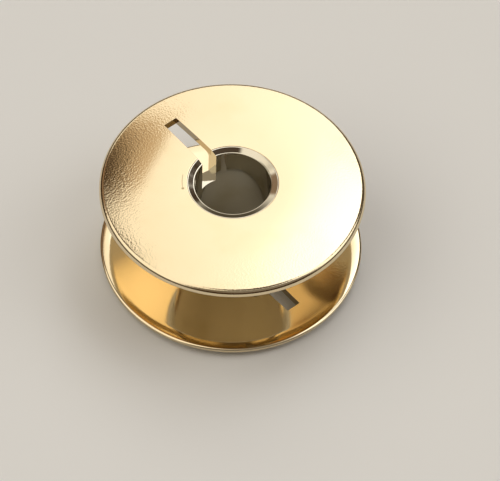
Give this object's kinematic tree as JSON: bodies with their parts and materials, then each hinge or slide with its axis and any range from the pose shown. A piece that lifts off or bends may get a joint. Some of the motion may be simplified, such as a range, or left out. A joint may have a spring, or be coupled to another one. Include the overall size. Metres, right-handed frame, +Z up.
{
  "type": "sewing machine bobbin",
  "caption": "Flanged steel thread bobbin: hollow core tube with a dished flange staked on each end and a radial slot cut in from the bore at either end.",
  "frame": {"origin": "on the bore's axis, at the plane of the lower hub end that the bobbin stands on", "axes": "+Z up the bore's axis, +Y towards the slot of the upper flange, so the lower flange's slot is at -Y"},
  "size_m": [0.021, 0.021, 0.009],
  "materials": {
    "core_plating": "bright nickel plating on steel, polished, slightly warm",
    "flange_plating": "bright nickel plating on steel, mirror polished with a faint orange peel, slightly warm"
  },
  "bodies": {
    "root": {"core_tube": "core_plating", "upper_flange": "flange_plating", "lower_flange": "flange_plating"}
  },
  "joints": []
}
